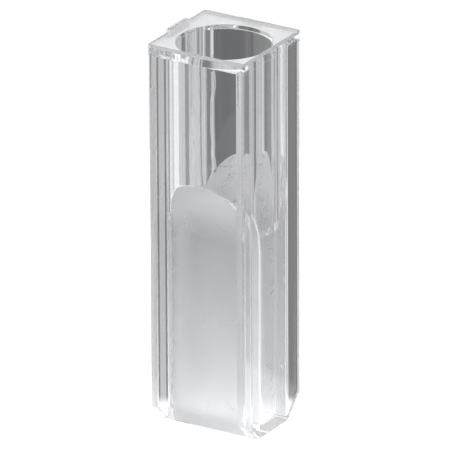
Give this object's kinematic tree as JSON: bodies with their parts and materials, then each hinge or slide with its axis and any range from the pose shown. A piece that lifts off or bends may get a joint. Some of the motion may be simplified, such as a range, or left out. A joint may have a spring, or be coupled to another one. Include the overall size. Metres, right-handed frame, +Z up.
{
  "type": "cuvette",
  "caption": "Clear semi-micro cuvette moulded in one piece: a round tube that narrows into a flat chamber, between two window plates with bevelled feet, under a square collar.",
  "frame": {"origin": "middle of the underside", "axes": "+Z up towards the mouth, X along the light path through the windows, Y across the narrow chamber"},
  "size_m": [0.0122, 0.0122, 0.0454],
  "materials": {
    "clear_plastic": "clear polystyrene, polished windows and tube, matt outer walls on the two wide sides of the chamber"
  },
  "bodies": {
    "root": {"cuvette": "clear_plastic"}
  },
  "joints": []
}
